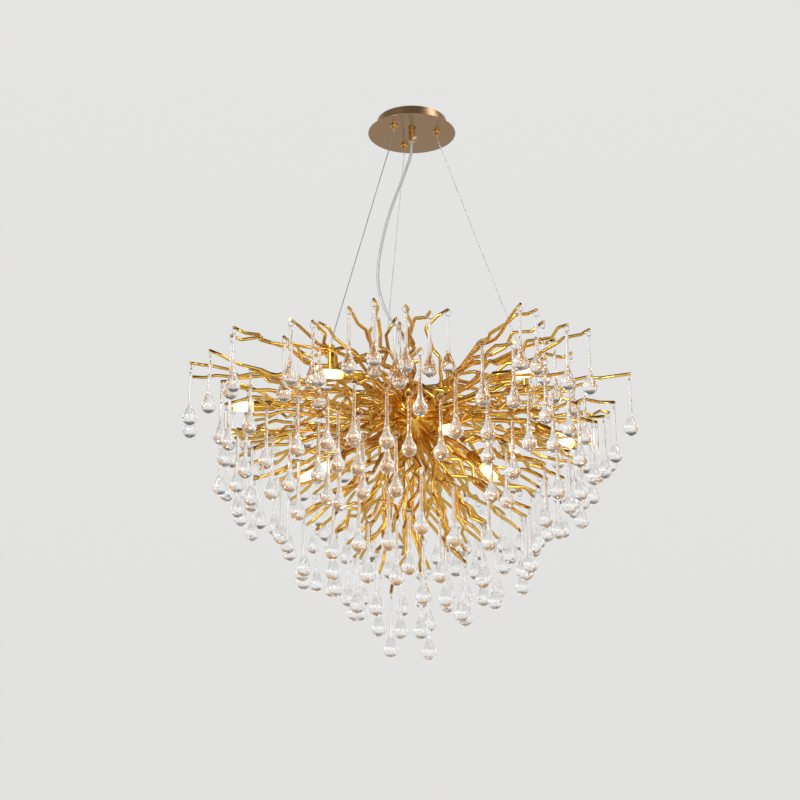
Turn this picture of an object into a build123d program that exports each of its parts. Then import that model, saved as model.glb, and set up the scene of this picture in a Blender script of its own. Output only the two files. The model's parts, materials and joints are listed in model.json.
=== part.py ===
from build123d import *
import os
import random
from math import acos, atan2, cos, degrees, hypot, pi, radians, sin, sqrt

import numpy as np

# Hanging crystal chandelier, in millimetres. The origin is on the ceiling, +Z is up, and
# the front, which faces the viewer, is -Y. Azimuths run from +X towards +Y, in degrees.

# ---------------------------------------------------------------- driving dimensions
FIT = 0.25                  # play round a pin, screw, wire or eye
SEAT = 0.3                  # gap between a piece and the piece that it rests on

# ceiling canopy
CANOPY_R = 80.0             # at the visible bottom disc
CANOPY_TOP_R = 66.0         # where the wall meets the ceiling
CANOPY_H = 26.0
CANOPY_WALL = 1.5
CANOPY_EDGE = 1.2           # rounding of the bottom edge
BRACKET_L = 112.0
BRACKET_W = 24.0
BRACKET_T = 2.0
BRACKET_TAB = 17.0          # how far the bent ends reach down
BRACKET_BOLTS = 70.0        # between the two ceiling screws
BRACKET_BOLT_R = 2.6
SIDE_SCREW_R = 1.8
SIDE_SCREW_Z = -11.0
SIDE_SCREW_HEAD_R = 4.5
TERMINAL = (30.0, 16.0, 12.0)

# cord gland in the middle of the canopy
GLAND_R = 5.6
GLAND_LIP_R = 6.6
GLAND_L = 28.0
CORD_R = 2.8
SET_SCREW_R = 2.6
SET_SCREW_L = 5.0

# wire grips and suspension wires
GRIP_CIRCLE_R = 48.0
GRIP_AZIMUTHS = (-13.3, -133.3, 106.7)
GRIP_FLANGE_R = 7.0
GRIP_FLANGE_T = 3.0
GRIP_R = 4.2
GRIP_L = 13.0
PLUNGER_R = 2.5
PLUNGER_OUT = 6.5           # how far the release nipple stands out of its grip
PLUNGER_TRAVEL = 3.0
WIRE_R = 0.75
WIRE_BEND_R = 8.0
POST_CIRCLE_R = 206.0
POST_R = 6.0
POST_TOP = -510.0
POST_FOOT = -560.0
POST_CAP = 7.0              # height of the plug that closes a post
ARM_R = 4.5

# hub
HUB_R = 48.0
HUB_Z = -586.0
HUB_WALL = 3.0
HUB_MOUTH_R = 20.0
HUB_LID_T = 3.0
HUB_BANDS = 9               # turned facets between the mouth and the bottom

# lamps: a tubular cup on an arm, a ceramic socket in it and a clear-capped bulb
CUP_R = 9.6
CUP_WALL = 1.0
CUP_L = 40.0
LAMP_ARM_R = 4.2
SOCKET_L = 18.0
BULB_R = 7.9
BULB_OUT = 37.0             # glowing length in front of the cup
BULB_NECK = 8.0             # length hidden in the cup
BULB_PIN = 6.0
BULB_SIDES = 12
BULB_PULL = 16.0            # travel that frees the bulb from its socket
LAMPS = (                   # mouth of the cup, azimuth and pitch of its axis
    ((-283.0, -4.0, -569.0), 181.0, -2.0),
    ((-122.0, -165.0, -570.0), -160.0, -4.0),
    ((-148.0, -76.0, -704.0), -150.0, -36.0),
    ((52.0, -168.0, -672.0), -72.0, -12.0),
    ((176.0, -94.0, -543.0), -12.0, 2.0),
    ((254.0, -14.0, -628.0), -3.0, -30.0),
    ((122.0, -72.0, -706.0), -30.0, -48.0),
    ((4.0, 132.0, -586.0), 88.0, 0.0),
    ((-176.0, 148.0, -640.0), 140.0, -14.0),
    ((176.0, 226.0, -572.0), 52.0, 0.0),
)

# branches: crooked rods, five-sided in section, forked into twigs with a hole at each tip
STEM_R = 3.3
TWIG_R = 2.7
ROD_SIDES = 5
TIP_BEYOND = 3.2            # metal past the hole
STUB = 9.0                  # straight length where a rod leaves the hub
KINK = 8.5                  # how crooked the rods are
FORK_AT = 0.56              # share of the way to the tips where a stem forks
FORK_LAP = 2.0              # how far a stem and its twigs run into each other
TIP_SPREAD = 54.0           # between neighbouring tips of one branch
ROOM = 2.2                  # least gap that the layout leaves between neighbours
TRIES = 60
SEED = 41

# jump rings and drops
RING_R = 6.0                # from the ring's centre to the middle of its top and bottom bars
RING_WIRE = 1.0
EYE_HALF = RING_WIRE / 2 + FIT
DROP_L = 107.0
DROP_R = 13.0
DROP_NUB_R = 2.4
DROP_NUB = 2.4              # from the eye up to the drop's top
DROP_NECK_R = 3.5
DROP_FLARE = 46.0           # height over the bottom where the neck starts to widen
DROP_SIDES = 6
SWING_SIDES = 8
SWING_OUT = 30.0
SWING_IN = -12.0
SWING_DROPS = 8

# (group, tip radius, tip height, stems, twigs on a stem, latitude on the hub, tip pitch)
ROWS = (
    ("top", 216.0, -496.0, 6, 2, 58.0, 24.0),
    ("top", 300.0, -512.0, 10, 2, 40.0, 14.0),
    ("rim", 382.0, -520.0, 17, 2, 21.0, 6.0),
    ("upper", 350.0, -580.0, 15, 2, 6.0, 0.0),
    ("upper", 326.0, -628.0, 14, 2, -9.0, -10.0),
    ("middle", 286.0, -660.0, 14, 2, -22.0, -18.0),
    ("middle", 240.0, -706.0, 12, 2, -35.0, -24.0),
    ("lower", 200.0, -768.0, 10, 2, -48.0, -30.0),
    ("lower", 148.0, -806.0, 8, 2, -60.0, -36.0),
    ("bottom", 90.0, -852.0, 6, 2, -72.0, -44.0),
    ("bottom", 38.0, -896.0, 5, 1, -84.0, -60.0),
)

# the tall twigs that stand clear of the others in front, from the hub to the tip
TALL_STEM = 54.0            # latitude on the hub where they start
TALL_TWIGS = (
    (((-22.0, -78.0, -545.0), (-60.0, -150.0, -530.0), (-72.0, -172.0, -503.0),
      (-66.0, -198.0, -473.0)),),
    (((-16.0, -104.0, -548.0), (-50.0, -176.0, -512.0), (-42.0, -190.0, -500.0),
      (-30.0, -212.0, -486.0)),),
    (((46.0, -128.0, -585.0), (46.0, -168.0, -560.0), (32.0, -180.0, -525.0),
      (24.0, -188.0, -496.0), (42.0, -196.0, -480.0), (60.0, -210.0, -468.0)),),
    (((-40.0, -92.0, -565.0), (-62.0, -150.0, -527.0), (-104.0, -172.0, -534.0),
      (-122.0, -186.0, -506.0), (-160.0, -204.0, -490.0)),),
    (((52.0, -60.0, -556.0), (100.0, -110.0, -524.0), (146.0, -148.0, -524.0),
      (180.0, -162.0, -503.0), (224.0, -188.0, -482.0)),),
)

# centreline of the power cord, from inside the gland to inside the hub's gland
CORD_POINTS = (
    (0.0, 0.0, -40.0), (0.0, 0.0, -66.0), (-10.0, 0.0, -98.0), (-23.0, 0.0, -136.0),
    (-37.0, 0.0, -174.0), (-48.0, 0.0, -214.0), (-56.0, 0.0, -252.0), (-62.0, 0.0, -290.0),
    (-63.0, 0.0, -326.0), (-57.0, 0.0, -360.0), (-44.0, 0.0, -392.0), (-26.0, 0.0, -420.0),
    (-10.0, 0.0, -448.0), (-2.0, 0.0, -478.0), (0.0, 0.0, -506.0), (0.0, 0.0, -532.0),
)


# ---------------------------------------------------------------- helpers
def polar(radius, azimuth, z):
    """Point at a radius and azimuth about the vertical axis."""
    return np.array([radius * cos(radians(azimuth)), radius * sin(radians(azimuth)), z])


def direction(azimuth, pitch):
    """Unit vector that points out at an azimuth and up by a pitch."""
    return np.array([cos(radians(pitch)) * cos(radians(azimuth)),
                     cos(radians(pitch)) * sin(radians(azimuth)), sin(radians(pitch))])


def spans(points, radius):
    """The runs of a path as rows of start, end and radius."""
    return [[*a, *b, radius] for a, b in zip(points, points[1:])]


def least_gap(first, second):
    """Smallest gap between two sets of round-ended rods, negative where they cross."""
    a, b = np.array(first)[:, None, :], np.array(second)[None, :, :]
    u, v, w = a[..., 3:6] - a[..., 0:3], b[..., 3:6] - b[..., 0:3], a[..., 0:3] - b[..., 0:3]
    uu, vv, uv = (u * u).sum(-1), (v * v).sum(-1), (u * v).sum(-1)
    uw, vw = (u * w).sum(-1), (v * w).sum(-1)
    s = np.clip((uv * vw - vv * uw) / np.maximum(uu * vv - uv * uv, 1e-6), 0, 1)
    t = np.clip((uv * s + vw) / vv, 0, 1)
    s = np.clip((uv * t - uw) / uu, 0, 1)
    apart = w + s[..., None] * u - t[..., None] * v
    return float((np.sqrt((apart * apart).sum(-1)) - a[..., 6] - b[..., 6]).min())


def crooked_path(start, heading, end, arriving, runs, kink, dice):
    """Points from start to end that leave and arrive as told and wander a little between."""
    reach = np.linalg.norm(end - start)
    handles = (start, start + heading * reach * 0.36, end - arriving * reach * 0.34, end)
    points = []
    for i in range(runs + 1):
        t = i / runs
        weights = ((1 - t) ** 3, 3 * t * (1 - t) ** 2, 3 * t * t * (1 - t), t ** 3)
        point = sum(w * h for w, h in zip(weights, handles))
        if 0 < i < runs:
            point = point + np.array([dice.uniform(-kink, kink) for _ in range(3)])
        points.append(point)
    return points


def drop_spans(hole, azimuth, swing=0.0):
    """The ring and drop that hang from a tip's hole, as rods, for the layout."""
    eye = hole - np.array([0, 0, 2 * RING_R])
    down = direction(azimuth, swing - 90)
    hang = DROP_L - DROP_NUB
    return (spans((hole - np.array([0, 0, 2.0]), eye), RING_R + RING_WIRE)
            + spans((eye, eye + down * (hang - DROP_FLARE)), DROP_NECK_R + 0.6)
            + spans((eye + down * (hang - DROP_FLARE), eye + down * (hang - 2 * DROP_R)), 8.0)
            + spans((eye + down * (hang - 1.5 * DROP_R), eye + down * (hang - DROP_R)),
                    DROP_R + 0.3))


# ---------------------------------------------------------------- layout of the branches
class Branch:
    """A stem with its twigs; each tip has a hole, an azimuth and the twig's direction."""

    def __init__(self, group, stem, twigs, tips):
        self.group, self.stem, self.twigs, self.tips = group, stem, twigs, tips

    def rods(self):
        rows = spans(self.stem, STEM_R) if len(self.stem) > 1 else []
        for twig in self.twigs:
            rows += spans(twig, TWIG_R)
        return rows

    def drops(self):
        rows = []
        for hole, azimuth, swings in self.tips:
            for swing in ((0.0, SWING_IN, SWING_OUT / 2, SWING_OUT) if swings else (0.0,)):
                rows += drop_spans(hole, azimuth, swing)
        return rows

    def own_gap(self):
        """Room that this branch's drops leave to its rods and to each other."""
        gaps = [99.0]
        for i, (hole, azimuth, _) in enumerate(self.tips):
            drop = drop_spans(hole, azimuth)
            rods = spans(self.stem, STEM_R) if len(self.stem) > 1 else []
            for j, twig in enumerate(self.twigs):
                rods += spans(twig, TWIG_R) if j != i else spans(twig[:-1], TWIG_R)
            gaps.append(least_gap(drop, rods))
            for other, turned, _ in self.tips[i + 1:]:
                gaps.append(least_gap(drop, drop_spans(other, turned)))
        return min(gaps)


HUB_CENTRE = np.array([0.0, 0.0, HUB_Z])


def hub_point(azimuth, latitude):
    """Where a rod's end is seated on the hub."""
    return HUB_CENTRE + direction(azimuth, latitude) * (HUB_R + SEAT)


def grown_branch(row, azimuth, twigs_wanted, swings, dice):
    """One branch of a row: a stem from the hub to its fork, and twigs on to their tips."""
    group, radius, height, _, _, latitude, pitch = row
    heading = direction(azimuth, latitude)
    start = hub_point(azimuth, latitude)
    spread = degrees(TIP_SPREAD / radius)
    ends = []
    for i in range(twigs_wanted):
        side = i - (twigs_wanted - 1) / 2
        turned = azimuth + side * spread * dice.uniform(0.8, 1.2)
        out = radius + dice.uniform(-16, 16)
        ends.append((polar(out, turned, height + dice.uniform(-15, 15)), turned))
    goal = sum(hole for hole, _ in ends) / len(ends)
    arriving = direction(azimuth, pitch)
    whole = crooked_path(start, heading, goal, arriving, 8, 0, dice)
    if twigs_wanted == 1:
        hole, turned = ends[0]
        arriving = direction(turned, pitch)
        twig = crooked_path(start + heading * STUB, heading, hole + arriving * TIP_BEYOND,
                            arriving, 5, KINK, dice)
        return Branch(group, [start], [[start] + twig], [(hole, turned, swings)])
    fork = whole[round(8 * FORK_AT)] + np.array([dice.uniform(-KINK, KINK) for _ in range(3)])
    along = whole[round(8 * FORK_AT) + 1] - whole[round(8 * FORK_AT)]
    along = along / np.linalg.norm(along)
    stem = [start] + crooked_path(start + heading * STUB, heading, fork, along, 3, KINK, dice)
    stem[-1] = fork + along * FORK_LAP
    crotch = fork - along * FORK_LAP
    twigs, tips = [], []
    for hole, turned in ends:
        lean = direction(turned, pitch + dice.uniform(-8, 8))
        twigs.append(crooked_path(crotch, along, hole + lean * TIP_BEYOND, lean, 3, KINK, dice))
        # the last run is straight through the hole
        last = twigs[-1]
        last[-2] = hole - lean * dice.uniform(16, 24)
        tips.append((hole, turned, swings))
    return Branch(group, stem, twigs, tips)


def tall_branch(points):
    """One of the hand-placed twigs, from the hub through its points to its tip."""
    first, tip = np.array(points[0]), np.array(points[-1])
    azimuth = degrees(atan2(first[1], first[0]))
    lean = (tip - np.array(points[-2])) / np.linalg.norm(tip - np.array(points[-2]))
    start = hub_point(azimuth, TALL_STEM)
    path = [start, start + direction(azimuth, TALL_STEM) * STUB]
    path += [np.array(p) for p in points[:-1]]
    path.append(tip + lean * TIP_BEYOND)
    return Branch("top", path[:1], [path], [(tip, degrees(atan2(tip[1], tip[0])), False)])


def lamp_line(mouth, azimuth, pitch):
    """Back end and front end of a lamp, with room to pull its bulb out."""
    axis = direction(azimuth, pitch)
    return np.array(mouth) - axis * CUP_L, np.array(mouth) + axis * (BULB_OUT + BULB_PULL)


def lamp_arm_path(mouth, azimuth, pitch):
    """Bent tube from the hub to the back of a lamp cup."""
    axis = direction(azimuth, pitch)
    back = np.array(mouth) - axis * (CUP_L + SEAT)
    out = back - HUB_CENTRE
    turned, up = degrees(atan2(out[1], out[0])), degrees(atan2(out[2], hypot(out[0], out[1])))
    start = hub_point(turned, up)
    return [start, start + direction(turned, up) * 12, back - axis * 14, back]


def fixed_rods():
    """Everything that the branches must stay clear of."""
    rows = [[0, 0, CORD_POINTS[-1][2], 0, 0, HUB_Z, HUB_MOUTH_R - ROOM]]
    rows += spans([np.array(p) for p in CORD_POINTS], CORD_R + 6)
    for azimuth in GRIP_AZIMUTHS:
        rows += spans((polar(GRIP_CIRCLE_R, azimuth, -CANOPY_H), polar(POST_CIRCLE_R, azimuth, POST_TOP)),
                      WIRE_R + 2)
        rows += spans((polar(POST_CIRCLE_R, azimuth, POST_TOP), polar(POST_CIRCLE_R, azimuth, POST_FOOT)),
                      POST_R)
        rows += spans(hanger_path(azimuth), ARM_R)
    for lamp in LAMPS:
        rows += spans(lamp_line(*lamp), CUP_R + 0.6)
        rows += spans(lamp_arm_path(*lamp), LAMP_ARM_R)
    return rows


def hanger_path(azimuth):
    """Rod from the hub to the foot of a suspension post."""
    start = hub_point(azimuth, 12.0)
    return [start, polar(POST_CIRCLE_R * 0.55, azimuth, (start[2] + POST_FOOT) / 2 + 8),
            polar(POST_CIRCLE_R, azimuth, POST_FOOT + ARM_R)]


def laid_out_branches():
    """All branches, each turned to a place where it and its drops have room."""
    dice = random.Random(SEED)
    placed, taken, free_tips = [], fixed_rods(), 0
    for points, in TALL_TWIGS:
        branch = tall_branch(points)
        placed.append(branch)
        taken += branch.rods() + branch.drops()
    for number, row in enumerate(ROWS):
        stems, forks = row[3], row[4]
        for i in range(stems):
            swings = row[0] == "rim" and i % 2 == 0 and free_tips < SWING_DROPS
            best, best_gap = None, -99.0
            for trial in range(TRIES):
                shift = dice.uniform(-0.5, 0.5) * (1.0 if trial < TRIES // 2 else 2.0)
                azimuth = 360.0 * (i + 0.5 * (number % 2) + shift) / stems - 90
                wanted = forks if trial < TRIES * 0.7 else 1
                branch = grown_branch(row, azimuth, wanted, swings, dice)
                gap = branch.own_gap()
                if gap > best_gap:
                    gap = min(gap, least_gap(branch.rods() + branch.drops(), taken))
                if gap > best_gap:
                    best, best_gap = branch, gap
                if gap > ROOM + 1.5:
                    break
            if best_gap > ROOM:
                placed.append(best)
                taken += best.rods() + best.drops()
                free_tips += len(best.tips) if swings else 0
            else:
                print("no room in row", number, "for stem", i, round(best_gap, 2))
    return placed


# ---------------------------------------------------------------- ceiling canopy
os.makedirs("parts", exist_ok=True)


def canopy_outer_r(z):
    """Outer radius of the canopy's sloping wall at a height."""
    return CANOPY_TOP_R + (CANOPY_R - CANOPY_TOP_R) * -z / CANOPY_H


wall_across = CANOPY_WALL * hypot(CANOPY_H, CANOPY_R - CANOPY_TOP_R) / CANOPY_H
neck_r = 0.8 * GRIP_R
gland_neck_r = 0.8 * GLAND_R
nut_t = 3.5

with BuildPart() as canopy_cup:
    with BuildSketch(Plane.XZ):
        with BuildLine():
            Polyline((0, -CANOPY_H), (CANOPY_R, -CANOPY_H), (CANOPY_TOP_R, 0),
                     (CANOPY_TOP_R - wall_across, 0),
                     (canopy_outer_r(CANOPY_WALL - CANOPY_H) - wall_across, CANOPY_WALL - CANOPY_H),
                     (0, CANOPY_WALL - CANOPY_H), close=True)
        make_face()
    revolve(axis=Axis.Z)
    fillet(canopy_cup.edges().filter_by(GeomType.CIRCLE).group_by(Axis.Z)[0], CANOPY_EDGE)
    with BuildSketch(Plane.XY.offset(-CANOPY_H)):
        Circle(gland_neck_r + FIT)
        with Locations(*[tuple(polar(GRIP_CIRCLE_R, a, 0)[:2]) for a in GRIP_AZIMUTHS]):
            Circle(neck_r + FIT)
    extrude(amount=CANOPY_WALL, mode=Mode.SUBTRACT)
    with Locations(Location((0, 0, SIDE_SCREW_Z), (0, 90, 0))):
        Cylinder(SIDE_SCREW_R + FIT, 2 * CANOPY_R, mode=Mode.SUBTRACT)
canopy_cup.part.label = "canopy_cup"
export_step(canopy_cup.part, "parts/canopy_cup.step")

with BuildPart() as ceiling_bracket:
    with BuildSketch(Plane.XZ.offset(-BRACKET_W / 2)):
        with BuildLine():
            ends = BRACKET_L / 2
            Polyline((-ends, 0), (ends, 0), (ends, -BRACKET_TAB), (ends - BRACKET_T, -BRACKET_TAB),
                     (ends - BRACKET_T, -BRACKET_T), (BRACKET_T - ends, -BRACKET_T),
                     (BRACKET_T - ends, -BRACKET_TAB), (-ends, -BRACKET_TAB), close=True)
        make_face()
    extrude(amount=BRACKET_W)
    with GridLocations(BRACKET_BOLTS, 0, 2, 1):
        Hole(BRACKET_BOLT_R)
    with Locations(Location((0, 0, SIDE_SCREW_Z), (0, 90, 0))):
        Cylinder(SIDE_SCREW_R + FIT, 2 * CANOPY_R, mode=Mode.SUBTRACT)
ceiling_bracket.part.label = "ceiling_bracket"
export_step(ceiling_bracket.part, "parts/ceiling_bracket.step")

side_head_x = canopy_outer_r(SIDE_SCREW_Z - SIDE_SCREW_HEAD_R) + SEAT
side_head_t = 5.0
screw_tip_x = BRACKET_L / 2 - 3 * BRACKET_T
with BuildPart() as canopy_screws:
    with BuildSketch(Plane.XZ):
        with BuildLine():
            low, rim = SIDE_SCREW_Z, SIDE_SCREW_Z + SIDE_SCREW_HEAD_R
            Polyline((screw_tip_x, low), (side_head_x + side_head_t, low),
                     (side_head_x + side_head_t, rim), (side_head_x, rim),
                     (side_head_x, low + SIDE_SCREW_R), (screw_tip_x, low + SIDE_SCREW_R),
                     close=True)
        make_face()
    revolve(axis=Axis((0, 0, SIDE_SCREW_Z), (1, 0, 0)))
    mirror(about=Plane.YZ)
canopy_screws.part.label = "canopy_screws"
export_step(canopy_screws.part, "parts/canopy_screws.step")

terminal_top = -BRACKET_T - SEAT
entry_r = 1.6
with BuildPart() as terminal_block:
    with Locations((0, 0, terminal_top)):
        Box(*TERMINAL, align=(Align.CENTER, Align.CENTER, Align.MAX))
    with BuildSketch(Plane.XZ.offset(-TERMINAL[1] / 2)):
        with Locations((0, terminal_top - 0.6 * TERMINAL[2])):
            with GridLocations(TERMINAL[0] / 3, 0, 3, 1):
                Circle(entry_r)
    extrude(amount=TERMINAL[1], mode=Mode.SUBTRACT)
terminal_block.part.label = "terminal_block"
export_step(terminal_block.part, "parts/terminal_block.step")

# ---------------------------------------------------------------- cord gland
under_canopy = -CANOPY_H - SEAT
in_canopy = CANOPY_WALL - CANOPY_H + SEAT
gland_bottom = under_canopy - GLAND_L
set_screw_z = gland_bottom + 0.3 * GLAND_L
set_screw_plane = Plane(origin=(0, 0, set_screw_z), z_dir=tuple(direction(-48, 0)))
with BuildPart() as cord_gland:
    with BuildSketch(Plane.XZ):
        with BuildLine():
            Polyline((CORD_R + FIT, in_canopy + nut_t + 1), (gland_neck_r, in_canopy + nut_t + 1),
                     (gland_neck_r, under_canopy), (GLAND_R, under_canopy),
                     (GLAND_R, gland_bottom + 4), (GLAND_LIP_R, gland_bottom + 3),
                     (GLAND_LIP_R, gland_bottom + 0.8), (GLAND_LIP_R - 0.8, gland_bottom),
                     (CORD_R + FIT, gland_bottom), close=True)
        make_face()
    revolve(axis=Axis.Z)
    with BuildSketch(set_screw_plane):
        Circle(SET_SCREW_R + FIT)
    extrude(amount=2 * GLAND_R, mode=Mode.SUBTRACT)
cord_gland.part.label = "cord_gland"
export_step(cord_gland.part, "parts/cord_gland.step")

with BuildPart() as gland_screw:
    with BuildSketch(set_screw_plane.offset(CORD_R + FIT)):
        Circle(SET_SCREW_R)
    extrude(amount=GLAND_R - CORD_R + SET_SCREW_L)
    with BuildSketch(set_screw_plane.offset(GLAND_R + SET_SCREW_L - 1.2)):
        Rectangle(0.8, 3 * SET_SCREW_R)
    extrude(amount=2, mode=Mode.SUBTRACT)
gland_screw.part.label = "gland_screw"
export_step(gland_screw.part, "parts/gland_screw.step")

# hexagonal nuts inside the canopy, on the necks of the gland and of the grips
with BuildPart() as canopy_nuts:
    with BuildSketch(Plane.XY.offset(in_canopy)):
        RegularPolygon(gland_neck_r + 4, 6)
        Circle(gland_neck_r + FIT, mode=Mode.SUBTRACT)
        with Locations(*[tuple(polar(GRIP_CIRCLE_R, a, 0)[:2]) for a in GRIP_AZIMUTHS]):
            RegularPolygon(neck_r + 3.2, 6)
            Circle(neck_r + FIT, mode=Mode.SUBTRACT)
    extrude(amount=nut_t)
canopy_nuts.part.label = "canopy_nuts"
export_step(canopy_nuts.part, "parts/canopy_nuts.step")

# ---------------------------------------------------------------- wire grips and wires
grip_bottom = under_canopy - GRIP_FLANGE_T - GRIP_L
plunger_inside = 0.45 * GRIP_L
plunger_bore = plunger_inside + PLUNGER_TRAVEL + 1
with BuildPart() as wire_grips:
    with BuildSketch(Plane.XZ):
        with BuildLine():
            wire_hole = WIRE_R + FIT
            Polyline((wire_hole, in_canopy + nut_t + 1), (neck_r, in_canopy + nut_t + 1),
                     (neck_r, under_canopy), (GRIP_FLANGE_R, under_canopy),
                     (GRIP_FLANGE_R, under_canopy - GRIP_FLANGE_T),
                     (GRIP_R, under_canopy - GRIP_FLANGE_T), (GRIP_R, grip_bottom),
                     (PLUNGER_R + FIT, grip_bottom), (PLUNGER_R + FIT, grip_bottom + plunger_bore),
                     (wire_hole, grip_bottom + plunger_bore), close=True)
        make_face()
    grip = revolve(axis=Axis.Z, mode=Mode.PRIVATE)
    with Locations(*[tuple(polar(GRIP_CIRCLE_R, a, 0)) for a in GRIP_AZIMUTHS]):
        add(grip)
wire_grips.part.label = "wire_grips"
export_step(wire_grips.part, "parts/wire_grips.step")

plunger_bottom = grip_bottom - PLUNGER_OUT
wire_top = under_canopy - GRIP_FLANGE_T
wire_bend = plunger_bottom - WIRE_BEND_R / 2
cap_flange = 2.0
for number, azimuth in enumerate(GRIP_AZIMUTHS, 1):
    grip_spot = polar(GRIP_CIRCLE_R, azimuth, 0)
    with BuildPart() as grip_plunger:
        with Locations((grip_spot[0], grip_spot[1], plunger_bottom)):
            Cylinder(PLUNGER_R, PLUNGER_OUT + plunger_inside,
                     align=(Align.CENTER, Align.CENTER, Align.MIN))
            Cylinder(WIRE_R + FIT, PLUNGER_OUT + plunger_inside,
                     align=(Align.CENTER, Align.CENTER, Align.MIN), mode=Mode.SUBTRACT)
        chamfer(grip_plunger.edges().group_by(Axis.Z)[0].sort_by(SortBy.RADIUS)[-1], 0.6)
    grip_plunger.part.label = f"grip_plunger_{number}"
    export_step(grip_plunger.part, f"parts/grip_plunger_{number}.step")

    with BuildPart() as wire:
        with BuildLine() as route:
            FilletPolyline(tuple(polar(GRIP_CIRCLE_R, azimuth, wire_top)),
                           tuple(polar(GRIP_CIRCLE_R, azimuth, wire_bend)),
                           tuple(polar(POST_CIRCLE_R, azimuth, POST_TOP + WIRE_BEND_R)),
                           tuple(polar(POST_CIRCLE_R, azimuth, POST_TOP - POST_CAP / 2)),
                           radius=WIRE_BEND_R)
        with BuildSketch(Plane(origin=route.line @ 0, z_dir=route.line % 0)):
            Circle(WIRE_R)
        sweep()
    wire.part.label = f"suspension_wire_{number}"
    export_step(wire.part, f"parts/suspension_wire_{number}.step")

# ---------------------------------------------------------------- hanger arms and post caps
post_bore_r = POST_R - 1.5
with BuildPart() as hanger_arms:
    for azimuth in GRIP_AZIMUTHS:
        with BuildLine() as route:
            Polyline(*[tuple(p) for p in hanger_path(azimuth)])
        with BuildSketch(Plane(origin=route.line @ 0, z_dir=route.line % 0)):
            Circle(ARM_R)
        sweep(transition=Transition.RIGHT)
        with BuildSketch(Plane.XY.offset(POST_FOOT)):
            with Locations(tuple(polar(POST_CIRCLE_R, azimuth, 0)[:2])):
                Circle(POST_R)
        extrude(amount=POST_TOP - cap_flange - SEAT - POST_FOOT)
        with BuildSketch(Plane.XY.offset(POST_TOP - cap_flange - SEAT)):
            with Locations(tuple(polar(POST_CIRCLE_R, azimuth, 0)[:2])):
                Circle(post_bore_r)
        extrude(amount=-POST_CAP - 1, mode=Mode.SUBTRACT)
hanger_arms.part.label = "hanger_arms"
export_step(hanger_arms.part, "parts/hanger_arms.step")

with BuildPart() as post_caps:
    with Locations(*[tuple(polar(POST_CIRCLE_R, a, POST_TOP)) for a in GRIP_AZIMUTHS]):
        Cylinder(POST_R, cap_flange, align=(Align.CENTER, Align.CENTER, Align.MAX))
        Cylinder(post_bore_r - FIT, POST_CAP, align=(Align.CENTER, Align.CENTER, Align.MAX))
        Cylinder(WIRE_R + FIT, POST_CAP, align=(Align.CENTER, Align.CENTER, Align.MAX),
                 mode=Mode.SUBTRACT)
post_caps.part.label = "post_caps"
export_step(post_caps.part, "parts/post_caps.step")

# ---------------------------------------------------------------- hub
mouth_angle = acos(HUB_MOUTH_R / HUB_R)
mouth_z = HUB_Z + HUB_R * sin(mouth_angle)
hub_inner_r = HUB_R - HUB_WALL
hub_spigot_r = HUB_MOUTH_R - HUB_WALL
inner_angle = acos(hub_spigot_r / hub_inner_r)


def ball_profile(radius, top_angle):
    """Corners of a turned ball's facets from its mouth down to its lowest point."""
    angles = [top_angle - i * (top_angle + pi / 2) / HUB_BANDS for i in range(HUB_BANDS + 1)]
    return [(radius * cos(a), HUB_Z + radius * sin(a)) for a in angles[:-1]] + [(0, HUB_Z - radius)]


with BuildPart() as hub_shell:
    with BuildSketch(Plane.XZ):
        with BuildLine():
            Polyline(*ball_profile(HUB_R, mouth_angle),
                     *reversed(ball_profile(hub_inner_r, inner_angle)),
                     (hub_spigot_r, mouth_z), close=True)
        make_face()
    revolve(axis=Axis.Z)
hub_shell.part.label = "hub_shell"
export_step(hub_shell.part, "parts/hub_shell.step")

lid_bottom = mouth_z + SEAT
hub_gland_neck_r = gland_neck_r
with BuildPart() as hub_lid:
    with BuildSketch(Plane.XZ):
        with BuildLine():
            lid_hole = hub_gland_neck_r + FIT
            Polyline((lid_hole, lid_bottom + HUB_LID_T), (HUB_MOUTH_R - 1, lid_bottom + HUB_LID_T),
                     (HUB_MOUTH_R, lid_bottom + HUB_LID_T - 1), (HUB_MOUTH_R, lid_bottom),
                     (hub_spigot_r - FIT, lid_bottom), (hub_spigot_r - FIT, lid_bottom - HUB_LID_T),
                     (lid_hole, lid_bottom - HUB_LID_T), close=True)
        make_face()
    revolve(axis=Axis.Z)
hub_lid.part.label = "hub_lid"
export_step(hub_lid.part, "parts/hub_lid.step")

lid_top = lid_bottom + HUB_LID_T
gland_seat = lid_top + SEAT
with BuildPart() as hub_gland:
    with BuildSketch(Plane.XZ):
        with BuildLine():
            Polyline((CORD_R + FIT, lid_bottom - 2 * HUB_LID_T), (hub_gland_neck_r, lid_bottom - 2 * HUB_LID_T),
                     (hub_gland_neck_r, gland_seat), (GLAND_LIP_R + 1, gland_seat),
                     (GLAND_LIP_R + 1, gland_seat + 3), (GLAND_R, gland_seat + 4),
                     (GLAND_R - 0.8, gland_seat + 13), (CORD_R + FIT, gland_seat + 13), close=True)
        make_face()
    revolve(axis=Axis.Z)
hub_gland.part.label = "hub_gland"
export_step(hub_gland.part, "parts/hub_gland.step")

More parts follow.
